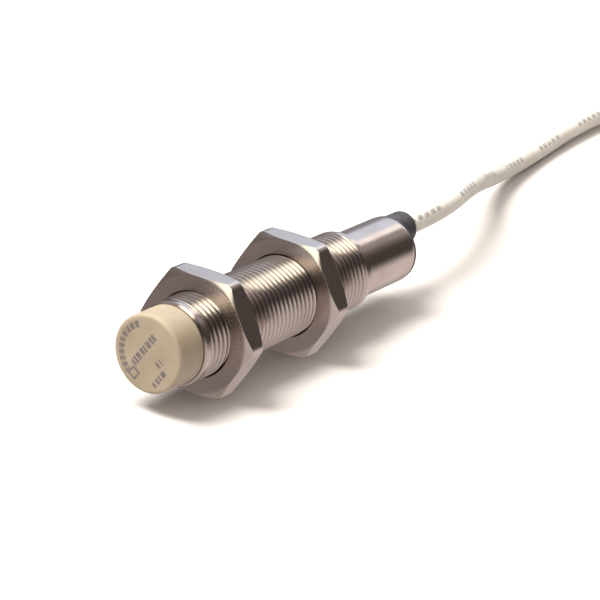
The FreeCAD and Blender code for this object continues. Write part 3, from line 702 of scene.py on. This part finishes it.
def strap_mesh(name, low, high, left, right):
    """A closed ribbon round the box between two (y, z) corners, from one x to another."""
    bend = CABLE_RADIUS + STRAP
    path = []
    for y, z, start in (
        (high[0] - bend, high[1] - bend, 0), (low[0] + bend, high[1] - bend, 90),
        (low[0] + bend, low[1] + bend, 180), (high[0] - bend, low[1] + bend, 270),
    ):
        for step in range(BEND_STEPS + 1):
            angle = math.radians(start + step * 90 / BEND_STEPS)
            path.append(((y, z), (math.cos(angle), math.sin(angle))))
    section = [
        *arc((right - STRAP_EDGE, bend - STRAP_EDGE), STRAP_EDGE, 0, 90, 4),
        *arc((left + STRAP_EDGE, bend - STRAP_EDGE), STRAP_EDGE, 90, 180, 4),
        *arc((left + STRAP_EDGE, bend - STRAP + STRAP_EDGE), STRAP_EDGE, 180, 270, 4),
        *arc((right - STRAP_EDGE, bend - STRAP + STRAP_EDGE), STRAP_EDGE, 270, 360, 4),
    ]
    mesh = bmesh.new()
    rings = [
        [mesh.verts.new((x, y + out_y * away, z + out_z * away)) for x, away in section]
        for (y, z), (out_y, out_z) in path
    ]
    for ring, after in zip(rings, rings[1:] + rings[:1]):
        for number in range(len(section)):
            other = (number + 1) % len(section)
            mesh.faces.new((ring[number], ring[other], after[other], after[number])).smooth = True
    made = bpy.data.meshes.new(name)
    mesh.to_mesh(made)
    mesh.free()
    return made


strap_height = (ties_low.z, ties_high.z)
near = strap_mesh("near", (ties_low.y, strap_height[0]), (ties_low.y + LEG + 2 * STRAP, strap_height[1]),
                  ties_low.x, ties_high.x)
far = strap_mesh("far", (ties_high.y - LEG - 2 * STRAP, strap_height[0]), (ties_high.y, strap_height[1]),
                 ties_low.x, ties_high.x)
straps = add_object("hank_straps", join("hank_straps", near, far), "sensor")
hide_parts("hank_ties")
NYLON = (0.72, 0.7, 0.64)
nylon = Shader("strap_nylon", NYLON, 0.45)
ribs = nylon.math("SINE", nylon.math("MULTIPLY", nylon.split(nylon.places())[0], 12000.0))
milky = nylon.noise(nylon.places(), 260.0)
nylon.colour(nylon.blend(nylon.span(milky, 0.35, 0.65), NYLON, (0.6, 0.58, 0.52)))
nylon.rough(nylon.span(milky, 0.3, 0.7, 0.38, 0.55))
nylon.bump(ribs, 0.00002, 0.4)
straps.data.materials.append(nylon.material)

# --- Leads ------------------------------------------------------------------------------------------
# Three insulated cores leave the cut jacket, fan out and lie flat on the hank. Their copper ends are
# twisted and tinned: six fine strands round a seventh.
WIRE = 0.5 * MM
WIRE_SPREAD = 0.8 * MM
WIRE_SIDES = 20
INTO_JACKET = 0.4 * MM
LEAD_STRAIGHT = 4.0 * MM
LEAD_SLOPE = 5.0 * MM
STRAND_TURNS = 2.5
STRAND_SIDES = 8
STRAND_STEPS = 40
OUTER_STRANDS = 6
STRAND_OVERLAP = 0.2 * MM
CORES = (  # its colour, the paler tone that it wears to, and where it lies in the cable, in degrees
    ("brown", (0.16, 0.055, 0.022), (0.24, 0.1, 0.05), 210),
    ("black", (0.014, 0.014, 0.015), (0.05, 0.05, 0.05), 90),
    ("blue", (0.015, 0.075, 0.42), (0.05, 0.14, 0.5), 330),
)
cut_face, end_side = end_box[0].x, (end_box[0].y + end_box[1].y) / 2
end_height = (end_box[0].z + end_box[1].z) / 2
tips_low, tips_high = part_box("tinned_ends")
bare = (tips_high.z - tips_low.z) / 2


def insulation(name, colour, worn_colour):
    """Smooth extruded vinyl with a slight waviness and a duller, paler tone in places."""
    shader = Shader(name, colour, 0.35)
    waves = shader.noise(shader.places(), 420.0)
    shader.colour(shader.blend(shader.span(waves, 0.4, 0.75), colour, worn_colour))
    shader.rough(shader.span(waves, 0.3, 0.7, 0.28, 0.45))
    shader.bump(waves, 0.00002, 0.4)
    return shader.material


solder = Shader("bright_solder", (0.62, 0.61, 0.59), 0.3, metallic=1.0)
ripples = solder.noise(solder.places(), 1500.0)
solder.colour(solder.blend(solder.span(ripples, 0.35, 0.7), (0.66, 0.65, 0.63), (0.46, 0.45, 0.44)))
solder.rough(solder.span(ripples, 0.3, 0.7, 0.22, 0.42))
solder.bump(ripples, 0.00003, 0.5)

insulations = {}
sleeves, strands = [], []
for core, colour, worn_colour, angle in CORES:
    lead_low, lead_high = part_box(f"{core}_lead")
    across, up = math.cos(math.radians(angle)) * WIRE_SPREAD, math.sin(math.radians(angle)) * WIRE_SPREAD
    low = tips_low.z + bare
    fanned = end_side
    if across < -WIRE / 2:
        fanned = lead_low.y + WIRE
    elif across > WIRE / 2:
        fanned = lead_high.y - WIRE
    fan_start = cut_face - LEAD_STRAIGHT
    fan_end = fan_start - LEAD_SLOPE
    lead_curve = bpy.data.curves.new(f"{core}_line", "CURVE")
    lead_curve.dimensions = "3D"
    lead_curve.resolution_u = 10
    lead_spline = lead_curve.splines.new("NURBS")
    places = [
        (cut_face + INTO_JACKET, end_side + across, end_height + up),
        (cut_face - 1.5 * MM, end_side + across, end_height + up),
        (fan_start, end_side + across, end_height + up),
        (fan_end, fanned, low), (fan_end - LEAD_SLOPE / 2, fanned, low), (lead_low.x, fanned, low),
    ]
    lead_spline.points.add(len(places) - 1)
    for point, place in zip(lead_spline.points, places):
        point.co = (*place, 1.0)
    lead_spline.order_u = 3
    lead_spline.use_endpoint_u = True
    sleeve = tube_along(f"{core}_sleeve", line_of(lead_curve), WIRE, WIRE_SIDES)
    lead = add_object(f"{core}_sleeve", sleeve, "sensor")
    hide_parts(f"{core}_lead")
    sleeves.append(lead)
    insulations[core] = insulation(f"{core}_vinyl", colour, worn_colour)
    lead.data.materials.append(insulations[core])
    for number in range(OUTER_STRANDS + 1):
        strand = bare / 3
        reach = 0.0 if number == OUTER_STRANDS else 2 * strand
        line = []
        for step in range(STRAND_STEPS + 1):
            turn = 2 * math.pi * (STRAND_TURNS * step / STRAND_STEPS + number / OUTER_STRANDS)
            start = lead_low.x + STRAND_OVERLAP
            x = start + (tips_low.x - start) * step / STRAND_STEPS
            line.append(Vector((x, fanned + reach * math.cos(turn), low + reach * math.sin(turn))))
        strands.append(tube_along(f"strand_{number}", line, strand, STRAND_SIDES))
tips = add_object("tinned_strands", join("tinned_strands", *strands), "sensor")
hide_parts("tinned_ends")
tips.data.materials.clear()
tips.data.materials.append(solder.material)

# --- Inside -----------------------------------------------------------------------------------------
# What the cap, barrel and resin hide: a ferrite pot core with its wound bobbin, the circuit board with
# the parts soldered to it, and the cable's cores, all cast in dark resin.
def moulded(name, colour, other, scale, roughness, metallic=0.0, depth=0.00001):
    """A finish that drifts between two tones, with a fine grain of its own."""
    shader = Shader(name, colour, roughness, metallic)
    drift = shader.noise(shader.places(), scale)
    grain = shader.noise(shader.places(), scale * 6, 4.0)
    shader.colour(shader.blend(shader.span(drift, 0.35, 0.68), colour, other))
    shader.rough(shader.span(grain, 0.3, 0.7, roughness - 0.06, roughness + 0.1))
    shader.bump(grain, depth, 0.45)
    return shader.material


ferrite = moulded("ferrite_grey", (0.05, 0.047, 0.045), (0.09, 0.08, 0.075), 700.0, 0.62, depth=0.00003)
finish(ferrite, "ferrite_core")
finish(moulded("bobbin_nylon", (0.72, 0.68, 0.56), (0.62, 0.57, 0.45), 400.0, 0.45), "coil_bobbin")
copper = Shader("enamelled_copper", (0.72, 0.27, 0.11), 0.26, metallic=0.9)
along, across, up = copper.split(copper.places())
turns = copper.math("SINE", copper.math("MULTIPLY", along, 62000.0))
tone = copper.noise(copper.places(), 800.0)
copper.colour(copper.blend(copper.span(tone, 0.35, 0.7), (0.72, 0.27, 0.11), (0.5, 0.16, 0.06)))
copper.rough(copper.span(tone, 0.3, 0.7, 0.2, 0.34))
copper.bump(turns, 0.00003, 0.5)
finish(copper.material, "coil_winding", "coil_leads")

MASK, MASK_OVER_TRACK = (0.012, 0.11, 0.045), (0.03, 0.2, 0.085)
WEAVE = 5200.0  # radians a metre
TRACK_PITCH, TRACK_SHARE = 1.1 * MM, 0.34
TRACK_RUN, RUN_SHARE = 7.3 * MM, 0.78
board = Shader("green_board", MASK, 0.4)
along, across, up = board.split(board.places())
lanes = board.math("FRACT", board.math("DIVIDE", across, TRACK_PITCH))
runs = board.math("FRACT", board.math("DIVIDE", along, TRACK_RUN))
tracks = board.math(
    "MULTIPLY", board.math("LESS_THAN", lanes, TRACK_SHARE), board.math("LESS_THAN", runs, RUN_SHARE),
)
woven = board.math("MULTIPLY", board.math("SINE", board.math("MULTIPLY", along, WEAVE)),
                   board.math("SINE", board.math("MULTIPLY", across, WEAVE)))
board.colour(board.blend(tracks, MASK, MASK_OVER_TRACK))
board.rough(board.span(board.noise(board.places(), 900.0), 0.3, 0.7, 0.3, 0.48))
board.bump(board.math("ADD", tracks, board.math("MULTIPLY", woven, 0.25)), 0.00003, 0.6)
finish(board.material, "circuit_board")
finish(moulded("chip_epoxy", (0.022, 0.022, 0.024), (0.045, 0.045, 0.048), 900.0, 0.5),
       "oscillator_chip", "output_transistor", "protection_diode", "voltage_regulator")
finish(moulded("resistor_glaze", (0.02, 0.024, 0.035), (0.05, 0.055, 0.07), 1400.0, 0.35), "resistors")
finish(moulded("trimmed_film", (0.03, 0.06, 0.16), (0.06, 0.1, 0.22), 1400.0, 0.35), "trimming_resistor")
ceramic = moulded("capacitor_ceramic", (0.43, 0.29, 0.17), (0.34, 0.22, 0.12), 1100.0, 0.5)
finish(ceramic, "ceramic_capacitors")
finish(moulded("lamp_resin", (0.85, 0.6, 0.2), (0.75, 0.48, 0.12), 600.0, 0.2), "indicator_led")
tin = moulded("crimped_tin", (0.6, 0.58, 0.55), (0.45, 0.43, 0.41), 600.0, 0.33, metallic=1.0)
finish(tin, "cable_clamp")
finish(moulded("potting_epoxy", (0.035, 0.028, 0.024), (0.06, 0.05, 0.042), 220.0, 0.3), "potting_resin")
finish(solder.material, "solder_joints")
for core, material in insulations.items():
    finish(material, f"{core}_core")

# --- Studio -----------------------------------------------------------------------------------------
# A white table under one soft lamp, high on the left, and a very wide one overhead that fills its shadow.
# Neither lamp nor table is mirrored: the plating shows the room, with its bright bands and dark ones.
floor = bpy.data.meshes.new("floor")
floor.from_pydata([(-3, -3, 0), (3, -3, 0), (3, 3, 0), (-3, 3, 0)], [], [(0, 1, 2, 3)])
floor_object = bpy.data.objects.new("floor", floor)
bpy.context.scene.collection.objects.link(floor_object)
table = Shader("white_table", (0.54, 0.515, 0.495), 0.9)
floor.materials.append(table.material)


def lamp(name, towards, distance, width, height, power, colour=(1.0, 1.0, 1.0)):
    """A soft rectangular lamp that shines on the sensor from a direction, with its width kept level."""
    data = bpy.data.lights.new(name, "AREA")
    data.shape = "RECTANGLE"
    data.size, data.size_y = width, height
    data.energy = power
    data.color = colour
    direction = Vector(towards).normalized()
    made = bpy.data.objects.new(name, data)
    facing = direction.to_track_quat("Z", "Y").to_matrix().to_4x4()
    made.matrix_world = Matrix.Translation(direction * distance) @ facing
    bpy.context.scene.collection.objects.link(made)
    return made


lamp("key", (-0.3, 0.38, 0.88), 1.0, 0.5, 0.5, 23.0, (1.0, 0.98, 0.95)).visible_glossy = False
lamp("fill", (-0.1, 0.1, 1.0), 1.2, 4.5, 4.5, 84.0, (1.0, 0.94, 0.9)).visible_glossy = False
floor_object.visible_glossy = False

# What the plating mirrors: the room behind the sensor and the room in front of it, each given by the angle
# round the sensor's axis from +Y over +Z.
BEHIND = (
    (-180, (0.11, 0.10, 0.095)), (-169, (0.42, 0.37, 0.35)), (-155, (0.80, 0.69, 0.66)),
    (-103, (0.80, 0.69, 0.66)), (-75, (0.50, 0.44, 0.43)), (-54, (0.33, 0.30, 0.30)),
    (0, (0.30, 0.28, 0.30)), (22, (0.34, 0.33, 0.38)), (36, (0.86, 0.92, 1.06)),
    (72, (0.93, 1.0, 1.13)), (83, (1.5, 1.42, 1.35)), (93, (1.4, 1.3, 1.22)),
    (102, (0.42, 0.36, 0.37)), (115, (0.42, 0.36, 0.36)), (130, (0.2, 0.17, 0.165)),
    (144, (0.09, 0.075, 0.07)), (169, (0.075, 0.06, 0.055)), (180, (0.11, 0.10, 0.095)),
)
IN_FRONT = (
    (-180, (0.50, 0.44, 0.41)), (-165, (0.72, 0.64, 0.6)), (-125, (0.66, 0.58, 0.55)),
    (-80, (0.42, 0.36, 0.34)), (-50, (0.28, 0.24, 0.225)), (-30, (0.26, 0.22, 0.21)),
    (10, (0.18, 0.155, 0.15)), (44, (0.42, 0.39, 0.38)), (62, (0.4, 0.36, 0.33)),
    (74, (2.3, 2.15, 1.75)), (102, (2.3, 2.15, 1.75)), (112, (0.3, 0.26, 0.22)),
    (126, (0.06, 0.05, 0.05)), (160, (0.07, 0.06, 0.055)), (173, (0.3, 0.26, 0.25)),
    (180, (0.50, 0.44, 0.41)),
)
world = bpy.data.worlds.new("studio")
bpy.context.scene.world = world
world.use_nodes = True
world.cycles_visibility.diffuse = False
room = world.node_tree


def ramp(share, stops, low, high):
    """A run of colours along a value between two limits."""
    made = room.nodes.new("ShaderNodeValToRGB")
    room.links.new(share, made.inputs[0])
    elements = made.color_ramp.elements
    for number, (place, colour) in enumerate(stops):
        share_of = (place - low) / (high - low)
        element = elements[number] if number < 2 else elements.new(share_of)
        element.position = share_of
        element.color = (*colour, 1)
    return made.outputs[0]


def room_math(operation, first, second=0.0):
    made = room.nodes.new("ShaderNodeMath")
    made.operation = operation
    for socket, value in zip(made.inputs, (first, second)):
        if isinstance(value, bpy.types.NodeSocket):
            room.links.new(value, socket)
        else:
            socket.default_value = value
    return made.outputs[0]


towards = room.nodes.new("ShaderNodeSeparateXYZ")
room.links.new(room.nodes.new("ShaderNodeTexCoord").outputs["Generated"], towards.inputs[0])
x, y, z = towards.outputs
round_share = room_math("ADD", room_math("DIVIDE", room_math("ARCTAN2", z, y), 2 * math.pi), 0.5)
rear = room_math("MULTIPLY", room_math("ADD", x, 0.1), 3.0)
rear_share = room_math("MINIMUM", room_math("MAXIMUM", rear, 0.0), 1.0)
both = room.nodes.new("ShaderNodeMix")
both.data_type = "RGBA"
room.links.new(rear_share, both.inputs["Factor"])
room.links.new(ramp(round_share, IN_FRONT, -180, 180), both.inputs[6])
room.links.new(ramp(round_share, BEHIND, -180, 180), both.inputs[7])
room.links.new(both.outputs[2], room.nodes["Background"].inputs[0])
bpy.context.scene.view_settings.view_transform = "Standard"
